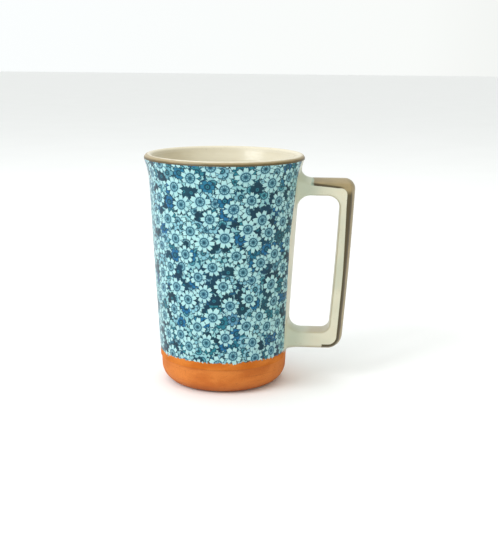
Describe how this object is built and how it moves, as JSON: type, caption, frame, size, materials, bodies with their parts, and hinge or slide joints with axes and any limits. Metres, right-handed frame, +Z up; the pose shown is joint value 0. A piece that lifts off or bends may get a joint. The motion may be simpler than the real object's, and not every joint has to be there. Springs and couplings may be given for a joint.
{
  "type": "stoneware mug",
  "caption": "Tall tapered stoneware drinking mug with a rolled lip, printed glaze, bare clay foot and squared strap handle.",
  "frame": {"origin": "centre of the foot, on the plane the mug stands on", "axes": "+Z up along the cup's axis, +X towards the handle, +Y across the handle's strap"},
  "size_m": [0.1105, 0.084, 0.122],
  "materials": {
    "bare_clay": "unglazed fired stoneware clay, matt and slightly gritty",
    "handle_clay": "fired stoneware clay under the handle's glaze",
    "slip": "fired luting slip",
    "cream_glaze": "glossy cream glaze",
    "celadon_glaze": "glossy pale celadon glaze",
    "iron_glaze": "satin iron-brown glaze, paler where thin",
    "blue_print": "blue transfer print of small flowers under clear glaze"
  },
  "bodies": {
    "root": {"cup_body": "bare_clay", "handle": "handle_clay", "upper_handle_joint": "slip", "lower_handle_joint": "slip", "inner_glaze": "cream_glaze", "outer_glaze": "celadon_glaze", "rim_band": "iron_glaze", "floral_transfer": "blue_print", "handle_glaze": "celadon_glaze", "handle_iron_band": "iron_glaze"}
  },
  "joints": []
}
